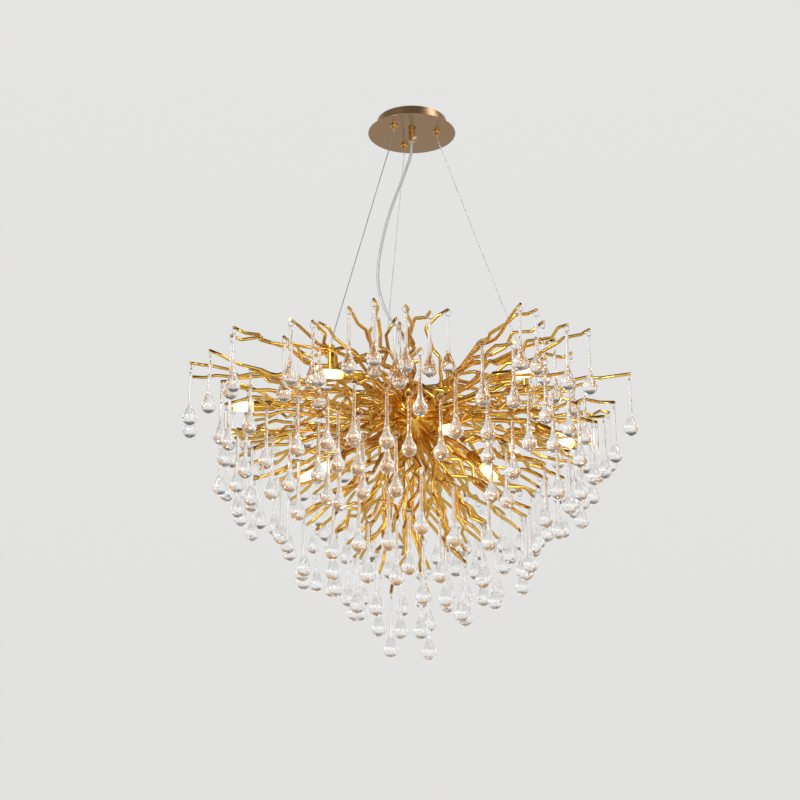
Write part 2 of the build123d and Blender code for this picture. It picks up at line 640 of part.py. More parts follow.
# ---------------------------------------------------------------- power cord
cord_runs = [Vector(*b) - Vector(*a) for a, b in zip(CORD_POINTS, CORD_POINTS[1:])]
cord_radii = [0.45 * min(a.length, b.length) / np.tan(radians(a.get_angle(b)) / 2)
              for a, b in zip(cord_runs, cord_runs[1:])]
with BuildPart() as power_cord:
    with BuildLine() as cord_route:
        FilletPolyline(*CORD_POINTS, radius=cord_radii)
    with BuildSketch(Plane(origin=cord_route.line @ 0, z_dir=cord_route.line % 0)):
        Circle(CORD_R)
    sweep()
power_cord.part.label = "power_cord"
export_step(power_cord.part, "parts/power_cord.step")
cord_length = sum(edge.length for edge in cord_route.edges())
print("cord length", round(cord_length, 1), "bend radii", [round(r) for r in cord_radii])
print("cord volume over section times length",
      round(power_cord.part.volume / (pi * CORD_R ** 2 * cord_length), 4))

def faceted(profile, sides):
    """Flat-sided piece on the Z axis: its profile, extruded across and crossed with itself."""
    flat = cos(pi / sides)
    with BuildPart() as piece:
        for i in range(sides // 2):
            turn = 360 / sides * i
            across = Plane((0, 0, 0), x_dir=tuple(direction(turn, 0)), z_dir=tuple(direction(turn - 90, 0)))
            with BuildSketch(across):
                with BuildLine():
                    Polyline(*[(r * flat, z) for r, z in profile],
                             *[(-r * flat, z) for r, z in reversed(profile)], close=True)
                make_face()
            extrude(amount=2 * max(r for r, _ in profile), both=True,
                    mode=Mode.INTERSECT if i else Mode.ADD)
    return piece.part


# ---------------------------------------------------------------- lamps
# every lamp piece is made once about the origin, its cup's mouth facing +Z, and then placed
lamp_places = [Location(Plane(origin=mouth, z_dir=tuple(direction(azimuth, pitch))))
               for mouth, azimuth, pitch in LAMPS]
with BuildPart() as lamp_arms:
    for lamp in LAMPS:
        with BuildLine() as route:
            Polyline(*[tuple(p) for p in lamp_arm_path(*lamp)])
        with BuildSketch(Plane(origin=route.line @ 0, z_dir=route.line % 0)):
            RegularPolygon(LAMP_ARM_R, 8)
        sweep(transition=Transition.RIGHT)
lamp_arms.part.label = "lamp_arms"
export_step(lamp_arms.part, "parts/lamp_arms.step")

cup_bore_r = CUP_R - CUP_WALL
lead_r = 2.0
with BuildPart() as cup:
    with BuildSketch(Plane.XZ):
        with BuildLine():
            Polyline((lead_r, -CUP_L), (LAMP_ARM_R + 1, -CUP_L), (CUP_R, 5 - CUP_L), (CUP_R, 0),
                     (cup_bore_r, 0), (cup_bore_r, 6 - CUP_L), (lead_r, 2 - CUP_L), close=True)
        make_face()
    revolve(axis=Axis.Z)
with BuildPart() as lamp_cups:
    with Locations(*lamp_places):
        add(cup.part)
lamp_cups.part.label = "lamp_cups"
export_step(lamp_cups.part, "parts/lamp_cups.step")

socket_front = -BULB_NECK - SEAT
pin_apart = 0.55 * BULB_R
pin_size = (0.8, 2.4)
with BuildPart() as socket:
    with BuildSketch(Plane.XY.offset(socket_front - SOCKET_L)):
        Circle(cup_bore_r - SEAT)
        Circle(lead_r, mode=Mode.SUBTRACT)
    extrude(amount=SOCKET_L)
    with BuildSketch(Plane.XY.offset(socket_front)):
        with GridLocations(2 * pin_apart, 0, 2, 1):
            Rectangle(pin_size[0] + 2 * FIT, pin_size[1] + 2 * FIT)
    extrude(amount=-BULB_PIN - 1, mode=Mode.SUBTRACT)
with BuildPart() as lamp_sockets:
    with Locations(*lamp_places):
        add(socket.part)
lamp_sockets.part.label = "lamp_sockets"
export_step(lamp_sockets.part, "parts/lamp_sockets.step")

with BuildPart() as bulb:
    add(faceted([(0.94 * BULB_R, -BULB_NECK), (0.94 * BULB_R, 1), (BULB_R, 2),
                 (BULB_R, BULB_OUT - 5), (0.84 * BULB_R, BULB_OUT - 1.2),
                 (0.55 * BULB_R, BULB_OUT)], BULB_SIDES))
    with BuildSketch(Plane.XY.offset(-BULB_NECK)):
        with GridLocations(2 * pin_apart, 0, 2, 1):
            Rectangle(*pin_size)
    extrude(amount=-BULB_PIN)
for number, place in enumerate(lamp_places, 1):
    with BuildPart() as placed_bulb:
        with Locations(place):
            add(bulb.part)
    placed_bulb.part.label = f"bulb_{number:02d}"
    export_step(placed_bulb.part, f"parts/bulb_{number:02d}.step", write_pcurves=False)


# ---------------------------------------------------------------- branches
def tip_place(hole, azimuth):
    """Where a tip's hole is, turned so that local Y runs across the branch."""
    return Location(tuple(hole), (0, 0, azimuth))


def branch_solid(branch):
    """A branch with its twigs brazed on and an eye through each tip."""
    with BuildPart() as piece:
        for points, radius in [(branch.stem, STEM_R)] + [(twig, TWIG_R) for twig in branch.twigs]:
            if len(points) > 1:
                with BuildLine() as route:
                    Polyline(*[tuple(p) for p in points])
                with BuildSketch(Plane(origin=route.line @ 0, z_dir=route.line % 0)):
                    RegularPolygon(radius, ROD_SIDES)
                sweep(transition=Transition.RIGHT)
        with Locations(*[tip_place(hole, azimuth) for hole, azimuth, _ in branch.tips]):
            Box(2 * EYE_HALF, 4 * TWIG_R, 2 * EYE_HALF, mode=Mode.SUBTRACT)
    return piece.part


branches = laid_out_branches()
GROUPS = ("top", "rim", "upper", "middle", "lower", "bottom")
for group in GROUPS:
    solids = [branch_solid(branch).solid() for branch in branches if branch.group == group]
    group_branches = Compound(solids)
    group_branches.label = f"{group}_branches"
    export_step(group_branches, f"parts/{group}_branches.step", write_pcurves=False)

# ---------------------------------------------------------------- jump rings
with BuildPart() as ring:
    with BuildSketch(Plane.YZ.offset(-RING_WIRE / 2)):
        with Locations((0, -RING_R)):
            RegularPolygon(RING_R + RING_WIRE / 2, 6, major_radius=False)
            RegularPolygon(RING_R - RING_WIRE / 2, 6, major_radius=False,
                           mode=Mode.SUBTRACT)
    extrude(amount=RING_WIRE)

# ---------------------------------------------------------------- glass drops
eye_z = -2 * RING_R


def drop_solid(sides):
    """A drop as it hangs from a tip's hole at the origin, its eye across the branch."""
    top = eye_z + DROP_NUB
    bottom = top - DROP_L
    with BuildPart() as drop:
        add(faceted([(DROP_NUB_R, top), (DROP_NECK_R, bottom + DROP_FLARE),
                     (0.93 * DROP_R, bottom + 1.65 * DROP_R), (DROP_R, bottom + 0.85 * DROP_R),
                     (0.42 * DROP_R, bottom)], sides))
        with Locations((0, 0, eye_z)):
            Box(2 * EYE_HALF, 4 * DROP_NUB_R, 2 * EYE_HALF, mode=Mode.SUBTRACT)
    return drop.part


plain_drop, rim_drop = drop_solid(DROP_SIDES), drop_solid(SWING_SIDES)
swinging = []
for group in GROUPS:
    tips = [tip for branch in branches if branch.group == group for tip in branch.tips]
    with BuildPart() as group_rings:
        with Locations(*[tip_place(hole, azimuth) for hole, azimuth, _ in tips]):
            add(ring.part)
    group_rings.part.label = f"{group}_rings"
    export_step(group_rings.part, f"parts/{group}_rings.step", write_pcurves=False)

    still = []
    for hole, azimuth, swings in tips:
        if swings and len(swinging) < SWING_DROPS:
            swinging.append((hole, azimuth))
        else:
            still.append(tip_place(hole, azimuth))
    with BuildPart() as group_drops:
        with Locations(*still):
            add(plain_drop)
    group_drops.part.label = f"{group}_drops"
    export_step(group_drops.part, f"parts/{group}_drops.step", write_pcurves=False)

for number, (hole, azimuth) in enumerate(swinging, 1):
    with BuildPart() as swinging_drop:
        with Locations(tip_place(hole, azimuth)):
            add(rim_drop)
    swinging_drop.part.label = f"swinging_drop_{number:02d}"
    export_step(swinging_drop.part, f"parts/swinging_drop_{number:02d}.step",
                write_pcurves=False)
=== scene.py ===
import json
import math

import bmesh
import bpy
from bpy.props import FloatProperty, FloatVectorProperty, IntProperty, PointerProperty
from mathutils import Matrix, Vector, noise
from mathutils.kdtree import KDTree


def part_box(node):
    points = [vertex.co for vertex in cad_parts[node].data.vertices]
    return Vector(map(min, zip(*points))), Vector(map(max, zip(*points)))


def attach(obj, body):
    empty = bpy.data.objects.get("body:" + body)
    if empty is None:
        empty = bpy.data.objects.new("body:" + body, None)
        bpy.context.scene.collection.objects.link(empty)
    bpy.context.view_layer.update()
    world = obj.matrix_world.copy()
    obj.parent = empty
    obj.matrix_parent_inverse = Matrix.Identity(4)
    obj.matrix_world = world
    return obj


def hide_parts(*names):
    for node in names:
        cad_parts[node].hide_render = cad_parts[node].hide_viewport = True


bl_info = {
    "name": "Crystal chandelier",
    "version": (1, 0, 0),
    "blender": (4, 5, 0),
    "location": "View3D > Sidebar > Chandelier",
    "description": "Dresses the packed frame of a chandelier with glass drops and gold branches",
    "category": "Object",
}

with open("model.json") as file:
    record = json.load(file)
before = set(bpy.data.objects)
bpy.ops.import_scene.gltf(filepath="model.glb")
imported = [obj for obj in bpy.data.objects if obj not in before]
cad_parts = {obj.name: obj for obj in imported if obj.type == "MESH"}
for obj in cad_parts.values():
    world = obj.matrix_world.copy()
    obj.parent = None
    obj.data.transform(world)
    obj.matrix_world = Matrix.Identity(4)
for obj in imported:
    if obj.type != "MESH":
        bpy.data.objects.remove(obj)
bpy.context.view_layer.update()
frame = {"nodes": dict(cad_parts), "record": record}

BODY = "fixture"
GROUPS = ("top", "rim", "upper", "middle", "lower", "bottom")
WIRES = (1, 2, 3)
MM = 0.001

# the camera of the photograph: it looks up at the lamp from the front
CAMERA_PLACE = (-0.022, -3.863, -1.977)
CAMERA_PITCH = math.radians(20.2)
CAMERA_LENS = 103.5

# the power cord's route, from inside the canopy's gland to inside the hub's gland
CORD_ROUTE = (
    (0.0, 0.0, -0.040), (0.0, 0.0, -0.066), (-0.010, 0.0, -0.098), (-0.023, 0.0, -0.136),
    (-0.037, 0.0, -0.174), (-0.048, 0.0, -0.214), (-0.056, 0.0, -0.252), (-0.062, 0.0, -0.290),
    (-0.063, 0.0, -0.326), (-0.057, 0.0, -0.360), (-0.044, 0.0, -0.392), (-0.026, 0.0, -0.420),
    (-0.010, 0.0, -0.448), (-0.002, 0.0, -0.478), (0.0, 0.0, -0.506), (0.0, 0.0, -0.532),
)
CORD_DIAMETER = 0.0056
WIRE_DIAMETER = 0.0018

# the turned canopy: (radius, height) in millimetres, inside first
CANOPY_OUTLINE = (
    (0, -24.2), (67.6, -24.2), (62.9, 0), (64.5, 0), (69.6, -23.6), (80.9, -23.8), (81.3, -24.2),
    (81.3, -25.6), (80.9, -26.0), (0, -26.0),
)
UNDER_CANOPY = -26.2 * MM   # where the gland and the wire grips meet the canopy's disc
GLAND_SHARE = 0.57          # of the CAD's lengths, which the photograph shows shorter
GRIP_SHARE = 0.45
PLUNGER_TOP = -32.2 * MM    # leaves a plunger room to rise inside its shortened grip
HEAD_DEPTH = 5.0 * MM       # of the CAD's side screw heads
HEAD_SINK = 6.8 * MM        # how far the heads move in to the narrower canopy
HEAD_SHARE = 0.3            # of the heads' depth that is kept

WIRE_DROP = 4.0 * MM        # from a grip's lower end to the wire's bend
WIRE_FOOT = 11.5 * MM       # from the wire's lower end to the bend over the post
BEND_RUN = 6                # wire diameters from a bend to the next control point

# a lit bulb: (radius, height) in millimetres from its front, and the middle of its glow
BULB_OUTLINE = (
    (0.0, -45), (6.6, -45), (6.9, -44), (6.9, -37), (7.6, -35.5), (7.8, -33), (7.9, -20), (7.8, -6),
    (7.3, -3), (6.2, -1.2), (4.2, -0.3), (0.0, 0.0),
)
GLOW_MIDDLE = 18

DROP_TOP = 2.4 * MM         # from a drop's eye to its top
NECK_R = 3.4 * MM           # of a drop's long neck
FLARE_UP = 46 * MM          # from a drop's bottom to where the neck starts to widen

# how crooked the branches are: the first sway that touches nothing is taken
SWAYS = tuple(sway * MM for sway in (21, 17, 13, 10, 7, 4, 0))
SWAY_SEED = 41              # without a seed, the noise module starts elsewhere in each run
SWAY_GRAIN = 31 * MM        # size of the noise that bends them
OWN_SWAY = 60.0             # how fast the noise changes from one branch's tip to the next
SWAY_STEP = 25 * MM         # between the points that are moved
HUB_STILL, HUB_FADE = 50 * MM, 45 * MM   # no sway near the hub, then more and more
TIP_STILL, TIP_FADE = 9 * MM, 30 * MM    # the same at a tip's hole
TIP_BEYOND = 3.2 * MM       # metal past the hole
HOLE_REACH = 4 * MM         # a rod's corners as near as this to a hole are its tip
JOINT_REACH = 4.4 * MM      # corners as near as this are one joint of a rod
JOINT_CORNERS = 5           # a joint of a rod has at least as many

# gaps that a swayed branch keeps
SPOT_GAP = 3.2 * MM         # to lamps, arms, cord and wires
NECK_GAP = 4.2 * MM         # from a drop's axis to the rod's side
EYE_GAP = 4 * MM            # over a drop's eye
BALL_FROM, BALL_FADE = 58 * MM, 30 * MM  # below a drop's eye, where it widens to its ball

# the stage
FLOOR_REACH = 14.0
FLOOR_Z = -2.3
FLOOR_GLOW = 0.51           # added for the camera, metal and glass: few lamps reach the floor
# (share of the way from straight down to straight up, level) of the surroundings
SKY_TONES = ((0.0, 0.16), (0.40, 0.74), (0.755, 0.78), (0.86, 0.10), (1.0, 0.04))
BODY_MIDDLE = (0, 0, -0.65)
LAMPS = (                   # name, place, aim, size, power
    ("key", (-2.4, -2.6, 0.5), BODY_MIDDLE, (1.0, 1.8), 60),
    ("fill", (2.6, -2.4, -0.9), BODY_MIDDLE, (0.7, 1.8), 30),
    ("low_front", (0.2, -2.8, -2.0), BODY_MIDDLE, (2.4, 0.6), 16),
    ("high_right", (2.0, -0.4, 2.1), (0, 0, -0.1), (0.9, 0.9), 20),
)


# ---------------------------------------------------------------- settings
class ChandelierSettings(bpy.types.PropertyGroup):
    drop_radius: FloatProperty(name="Drop radius", description="Widest radius of a glass drop",
                               default=13.0 * MM, unit="LENGTH")
    drop_length: FloatProperty(name="Drop length", description="From a drop's top to its bottom",
                               default=107.0 * MM, unit="LENGTH")
    drop_sides: IntProperty(name="Drop sides", description="Faces round a glass drop", default=14)
    ring_radius: FloatProperty(name="Ring radius", default=6.0 * MM, unit="LENGTH",
                               description="Of the wire rings, to the wire's middle")
    rod_radius: FloatProperty(name="Rod radius", description="Of the branches near the hub",
                              default=3.4 * MM, unit="LENGTH")
    twig_radius: FloatProperty(name="Twig radius", description="Of the branches at their tips",
                               default=2.8 * MM, unit="LENGTH")
    kink_rounding: FloatProperty(name="Kink rounding", default=6.0 * MM, unit="LENGTH",
                                 description="Radius of the bends in a branch")
    gold: FloatVectorProperty(name="Gold", description="Colour of the plated branches",
                              subtype="COLOR", default=(0.87, 0.52, 0.10))
    champagne: FloatVectorProperty(name="Champagne", description="Colour of the brushed canopy",
                                   subtype="COLOR", default=(0.38, 0.24, 0.13))
    glow: FloatProperty(name="Glow", description="Strength of the lit bulbs", default=5.0)
    glow_colour: FloatVectorProperty(name="Glow colour", description="Warm tone of a bulb's ends",
                                     subtype="COLOR", default=(0.62, 0.19, 0.025))


# ---------------------------------------------------------------- materials
def new_material(name):
    """A new material with its tree and surface shader; one that is there already has no tree."""
    material = bpy.data.materials.get(name)
    if material:
        return material, None, None
    material = bpy.data.materials.new(name)
    material.use_nodes = True
    tree = material.node_tree
    shader = tree.nodes["Principled BSDF"]
    return material, tree, shader


def add_node(tree, kind, **inputs):
    """A node with its inputs set by name."""
    node = tree.nodes.new(kind)
    for name, value in inputs.items():
        node.inputs[name.replace("_", " ")].default_value = value
    return node


def linked_math(tree, operation, first, second):
    """A math node's output, with a socket first and a socket or a number second."""
    node = tree.nodes.new("ShaderNodeMath")
    node.operation = operation
    tree.links.new(first, node.inputs[0])
    if isinstance(second, float):
        node.inputs[1].default_value = second
    else:
        tree.links.new(second, node.inputs[1])
    return node.outputs[0]


def object_noise(tree, scale, detail=3.0, stretch=(1, 1, 1)):
    """Noise on object coordinates, stretched along an axis for a drawn or brushed finish."""
    where = tree.nodes.new("ShaderNodeTexCoord")
    mapping = add_node(tree, "ShaderNodeMapping", Scale=stretch)
    noise = add_node(tree, "ShaderNodeTexNoise", Scale=scale, Detail=detail, Roughness=0.55)
    tree.links.new(where.outputs["Object"], mapping.inputs["Vector"])
    tree.links.new(mapping.outputs["Vector"], noise.inputs["Vector"])
    return noise


def spread(tree, source, low, high):
    """Maps a 0 to 1 pattern to a range."""
    ramp = add_node(tree, "ShaderNodeMapRange", To_Min=low, To_Max=high)
    ramp.inputs["From Min"].default_value = 0.3
    ramp.inputs["From Max"].default_value = 0.7
    tree.links.new(source, ramp.inputs["Value"])
    return ramp.outputs["Result"]


def two_tone(tree, source, first, second):
    """Colour that varies between two tones with a pattern."""
    ramp = tree.nodes.new("ShaderNodeValToRGB")
    ramp.color_ramp.elements[0].position = 0.35
    ramp.color_ramp.elements[1].position = 0.68
    ramp.color_ramp.elements[0].color = (*first, 1)
    ramp.color_ramp.elements[1].color = (*second, 1)
    tree.links.new(source, ramp.inputs["Fac"])
    return ramp.outputs["Color"]


def bump(tree, source, shader, distance):
    """Raises the surface by up to a distance where a pattern is high."""
    node = add_node(tree, "ShaderNodeBump", Distance=distance, Strength=1.0)
    tree.links.new(source, node.inputs["Height"])
    tree.links.new(node.outputs["Normal"], shader.inputs["Normal"])


def metal(name, colour, rough, noise_scale, relief, stretch=(1, 1, 1), darker=0.82):
    """Metal whose colour, roughness and surface vary a little, as plating and brushing do."""
    material, tree, shader = new_material(name)
    if tree is None:
        return material
    shader.inputs["Metallic"].default_value = 1.0
    fine = object_noise(tree, noise_scale, 4.0, stretch)
    broad = object_noise(tree, noise_scale * 0.12)
    tone = tuple(c * darker for c in colour)
    tree.links.new(two_tone(tree, broad.outputs["Fac"], tone, colour), shader.inputs["Base Color"])
    tree.links.new(spread(tree, fine.outputs["Fac"], *rough), shader.inputs["Roughness"])
    bump(tree, fine.outputs["Fac"], shader, relief)
    return material


def polished_gold():
    gold = tuple(bpy.context.scene.chandelier.gold)
    return metal("polished_gold", gold, (0.05, 0.13), 60.0, 0.00006, darker=0.68)


def champagne_gold():
    """Brushed gold, glossier on the canopy's disc than on its wall."""
    tone = tuple(bpy.context.scene.chandelier.champagne)
    material = metal("champagne_gold", tone, (0.12, 0.18), 700.0, 0.00001, (0.02, 1, 1), 0.92)
    tree = material.node_tree
    where = tree.nodes.new("ShaderNodeTexCoord")
    split = tree.nodes.new("ShaderNodeSeparateXYZ")
    satin = add_node(tree, "ShaderNodeMapRange", To_Min=0.14, To_Max=0.36)
    satin.inputs["From Min"].default_value = -24.5 * MM
    satin.inputs["From Max"].default_value = -23.0 * MM
    tree.links.new(where.outputs["Object"], split.inputs[0])
    tree.links.new(split.outputs["Z"], satin.inputs["Value"])
    tree.links.new(satin.outputs["Result"], tree.nodes["Principled BSDF"].inputs["Roughness"])
    return material


def turned_brass():
    return metal("turned_brass", (0.76, 0.50, 0.20), (0.14, 0.26), 700.0, 0.00005, (1, 1, 12))


def drawn_steel():
    return metal("drawn_steel", (0.55, 0.55, 0.57), (0.38, 0.48), 300.0, 0.00001, (1, 1, 0.3))


def zinc_plate():
    return metal("zinc_plate", (0.50, 0.52, 0.55), (0.30, 0.48), 240.0, 0.00004)


def plain_gloss(name, colour, rough, noise_scale, relief, coat=0.0):
    """Glazed or moulded material with a faint mottle."""
    material, tree, shader = new_material(name)
    if tree is None:
        return material
    noise = object_noise(tree, noise_scale)
    tone = tuple(c * 0.9 for c in colour)
    tree.links.new(two_tone(tree, noise.outputs["Fac"], tone, colour), shader.inputs["Base Color"])
    tree.links.new(spread(tree, noise.outputs["Fac"], rough * 0.8, rough * 1.2),
                   shader.inputs["Roughness"])
    shader.inputs["Coat Weight"].default_value = coat
    bump(tree, noise.outputs["Fac"], shader, relief)
    return material


def glazed_ceramic():
    return plain_gloss("glazed_ceramic", (0.90, 0.88, 0.82), 0.25, 180.0, 0.00005, 0.4)


def moulded_nylon():
    return plain_gloss("moulded_nylon", (0.88, 0.88, 0.86), 0.45, 400.0, 0.00004)


def drawn_glass():
    """Clear fire-polished glass with faint waves where it was drawn."""
    material, tree, shader = new_material("drawn_glass")
    if tree is None:
        return material
    shader.inputs["Base Color"].default_value = (1, 1, 1, 1)
    shader.inputs["Transmission Weight"].default_value = 1.0
    shader.inputs["IOR"].default_value = 1.5
    shader.inputs["Roughness"].default_value = 0.0
    waves = object_noise(tree, 45.0, 1.0)
    bump(tree, waves.outputs["Fac"], shader, 0.00015)
    return material


def frosted_glow():
    """Lit frosted cap: white in the middle of its length and warmer towards its ends."""
    material, tree, shader = new_material("frosted_glow")
    if tree is None:
        return material
    settings = bpy.context.scene.chandelier
    warmth = tree.nodes.new("ShaderNodeAttribute")
    warmth.attribute_name = "warmth"
    colour = two_tone(tree, warmth.outputs["Fac"], (1.0, 0.88, 0.66),
                      tuple(settings.glow_colour))
    mottle = object_noise(tree, 500.0)
    tree.links.new(spread(tree, mottle.outputs["Fac"], 0.4, 0.55), shader.inputs["Roughness"])
    shader.inputs["Base Color"].default_value = (0.95, 0.9, 0.8, 1)
    tree.links.new(colour, shader.inputs["Emission Color"])
    shader.inputs["Emission Strength"].default_value = settings.glow
    return material


def braided_jacket():
    """Clear jacket over a silver braid, which shows as fine crossing strands."""
    material, tree, shader = new_material("braided_jacket")
    if tree is None:
        return material
    where = tree.nodes.new("ShaderNodeTexCoord")
    waves = []
    for lean in (1.0, -1.0):
        mapping = add_node(tree, "ShaderNodeMapping", Rotation=(0, math.radians(32) * lean, 0))
        wave = add_node(tree, "ShaderNodeTexWave", Scale=260.0, Distortion=0.4)
        tree.links.new(where.outputs["Object"], mapping.inputs["Vector"])
        tree.links.new(mapping.outputs["Vector"], wave.inputs["Vector"])
        waves.append(wave.outputs["Fac"])
    cross = linked_math(tree, "MULTIPLY", *waves)
    tree.links.new(two_tone(tree, cross, (0.42, 0.43, 0.45), (0.80, 0.81, 0.83)),
                   shader.inputs["Base Color"])
    shader.inputs["Metallic"].default_value = 0.55
    shader.inputs["Roughness"].default_value = 0.32
    shader.inputs["Coat Weight"].default_value = 0.8
    shader.inputs["Coat Roughness"].default_value = 0.06
    bump(tree, cross, shader, 0.0002)
    return material


# ---------------------------------------------------------------- mesh helpers
def in_scene(name, data):
    """A new object in the scene."""
    made = bpy.data.objects.new(name, data)
    bpy.context.scene.collection.objects.link(made)
    return made


def new_piece(name, mesh, material, body, node):
    """Puts a finished mesh in the scene as the piece that stands for a CAD node."""
    piece = in_scene(name, mesh)
    mesh.materials.clear()
    mesh.materials.append(material)
    mesh.polygons.foreach_set("material_index", [0] * len(mesh.polygons))
    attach(piece, body)
    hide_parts(node)
    return piece


def merged_copy(node):
    """The node's mesh with its loose triangles joined, as a bmesh."""
    bm = bmesh.new()
    bm.from_mesh(frame["nodes"][node].data)
    bmesh.ops.remove_doubles(bm, verts=bm.verts, dist=2e-6)
    return bm


def finished_copy(node, material, body=BODY, sharp=35.0, edge=0.0, reshape=None):
    """A machined piece: the CAD shape with smooth round walls and lightly broken edges."""
    bm = merged_copy(node)
    if reshape:
        for vert in bm.verts:
            vert.co = reshape(vert.co)
    bmesh.ops.dissolve_limit(bm, angle_limit=math.radians(1.0), verts=bm.verts, edges=bm.edges)
    for face in bm.faces:
        face.smooth = True
    for joint in bm.edges:
        joint.smooth = joint.is_manifold and joint.calc_face_angle(0.0) < math.radians(sharp)
    if edge:
        rims = [e for e in bm.edges if not e.smooth and e.is_manifold]
        bmesh.ops.bevel(bm, geom=rims, offset=edge, segments=2, affect="EDGES", profile=0.6,
                        clamp_overlap=True)
        for face in bm.faces:
            face.smooth = True
    bmesh.ops.triangulate(bm, faces=[f for f in bm.faces if len(f.verts) > 4])
    mesh = bpy.data.meshes.new(node + "_finish")
    bm.to_mesh(mesh)
    bm.free()
    return new_piece(node + "_finish", mesh, material, body, node)


def lathe(name, profile, sides, sharp=180.0):
    """Mesh turned about Z from (radius, height) pairs; ends on the axis close to a point."""
    bm = bmesh.new()
    rows = []
    for radius, height in profile:
        if radius < 1e-7:
            rows.append([bm.verts.new((0, 0, height))])
        else:
            turns = [2 * math.pi * i / sides for i in range(sides)]
            rows.append([bm.verts.new((radius * math.cos(a), radius * math.sin(a), height))
                         for a in turns])
    for low, high in zip(rows, rows[1:]):
        for i in range(sides):
            j = (i + 1) % sides
            corners = [low[i % len(low)], low[j % len(low)],
                       high[j % len(high)], high[i % len(high)]]
            distinct = list(dict.fromkeys(corners))
            if len(distinct) > 2:
                bm.faces.new(distinct).smooth = True
    bmesh.ops.recalc_face_normals(bm, faces=bm.faces)
    for joint in bm.edges:
        joint.smooth = joint.calc_face_angle(0.0) < math.radians(sharp)
    mesh = bpy.data.meshes.new(name)
    bm.to_mesh(mesh)
    bm.free()
    return mesh


# ---------------------------------------------------------------- reading the frame
def islands(bm):
    """The separate solids of a merged mesh, each as a list of vertices."""
    bm.verts.index_update()
    seen, found = [False] * len(bm.verts), []
    for seed in bm.verts:
        if seen[seed.index]:
            continue
        seen[seed.index] = True
        island, edge_of = [seed], [seed]
        while edge_of:
            vert = edge_of.pop()
            for link in vert.link_edges:
                other = link.other_vert(vert)
                if not seen[other.index]:
                    seen[other.index] = True
                    island.append(other)
                    edge_of.append(other)
        found.append(island)
    return found


def middle(points):
    """Middle of the points' box."""
    low = Vector(min(p[i] for p in points) for i in range(3))
    high = Vector(max(p[i] for p in points) for i in range(3))
    return (low + high) / 2


def in_turn(points):
    """Points sorted round the axis, so that each run has them in the same order."""
    return sorted(points, key=lambda p: (round(math.atan2(p.y, p.x), 4), p.z))


def ring_middles(group):
    """The middle of each wire ring of a group, as the CAD has it."""
    bm = merged_copy(f"{group}_rings")
    found = [middle([v.co for v in island]) for island in islands(bm)]
    bm.free()
    return in_turn(found)


def joint_of(body):
    """The joint that moves a body."""
    return next(j for j in frame["record"]["behaviour"]["joints"] if j["child"] == body)


def front_of(node, axis):
    """The point on a node's own axis where its reach along the axis ends."""
    points = [v.co for v in frame["nodes"][node].data.vertices]
    centre = middle(points)
    return centre + axis * (max(axis.dot(p) for p in points) - axis.dot(centre))


# ---------------------------------------------------------------- Geometry Nodes
def new_tree(name, sockets):
    """A geometry tree with a Geometry input and output and further named inputs."""
    tree = bpy.data.node_groups.new(name, "GeometryNodeTree")
    tree.interface.new_socket("Geometry", in_out="INPUT", socket_type="NodeSocketGeometry")
    for label, kind, value in sockets:
        socket = tree.interface.new_socket(label, in_out="INPUT", socket_type=kind)
        if value is not None:
            socket.default_value = value
    tree.interface.new_socket("Geometry", in_out="OUTPUT", socket_type="NodeSocketGeometry")
    return tree, tree.nodes.new("NodeGroupInput"), tree.nodes.new("NodeGroupOutput")


def chain(tree, source, *nodes):
    """Links geometry through nodes in order and returns the last output."""
    for node in nodes:
        tree.links.new(source, node.inputs[0])
        source = node.outputs[0]
    return source


def finish_tree(tree, source, given, out):
    """Ends a tree in Realize Instances and Set Material."""
    paint = tree.nodes.new("GeometryNodeSetMaterial")
    tree.links.new(given.outputs["Material"], paint.inputs["Material"])
    source = chain(tree, source, tree.nodes.new("GeometryNodeRealizeInstances"), paint)
    tree.links.new(source, out.inputs[0])


def rod_tree():
    """Round rods along chains of edges, with rounded kinks and the thickness of each point."""
    name = "crooked_rods"
    if name in bpy.data.node_groups:
        return bpy.data.node_groups[name]
    tree, given, out = new_tree(name, (("Kink Rounding", "NodeSocketFloat", 0.008),
                                       ("Sides", "NodeSocketInt", 9),
                                       ("Material", "NodeSocketMaterial", None)))
    thickness = tree.nodes.new("GeometryNodeInputNamedAttribute")
    thickness.data_type = "FLOAT"
    thickness.inputs["Name"].default_value = "thickness"
    radius = tree.nodes.new("GeometryNodeSetCurveRadius")
    tree.links.new(thickness.outputs["Attribute"], radius.inputs["Radius"])
    fillet = tree.nodes.new("GeometryNodeFilletCurve")
    fillet.mode = "POLY"
    fillet.inputs["Count"].default_value = 3
    fillet.inputs["Limit Radius"].default_value = True
    tree.links.new(given.outputs["Kink Rounding"], fillet.inputs["Radius"])
    section = tree.nodes.new("GeometryNodeCurvePrimitiveCircle")
    section.inputs["Radius"].default_value = 1.0
    tree.links.new(given.outputs["Sides"], section.inputs["Resolution"])
    sweep = tree.nodes.new("GeometryNodeCurveToMesh")
    sweep.inputs["Fill Caps"].default_value = True
    tree.links.new(section.outputs["Curve"], sweep.inputs["Profile Curve"])
    along = tree.nodes.new("GeometryNodeInputRadius")
    tree.links.new(along.outputs[0], sweep.inputs["Scale"])
    line = tree.nodes.new("GeometryNodeMeshToCurve")
    source = chain(tree, given.outputs["Geometry"], line, radius, fillet, sweep,
                   tree.nodes.new("GeometryNodeSetShadeSmooth"))
    finish_tree(tree, source, given, out)
    return tree


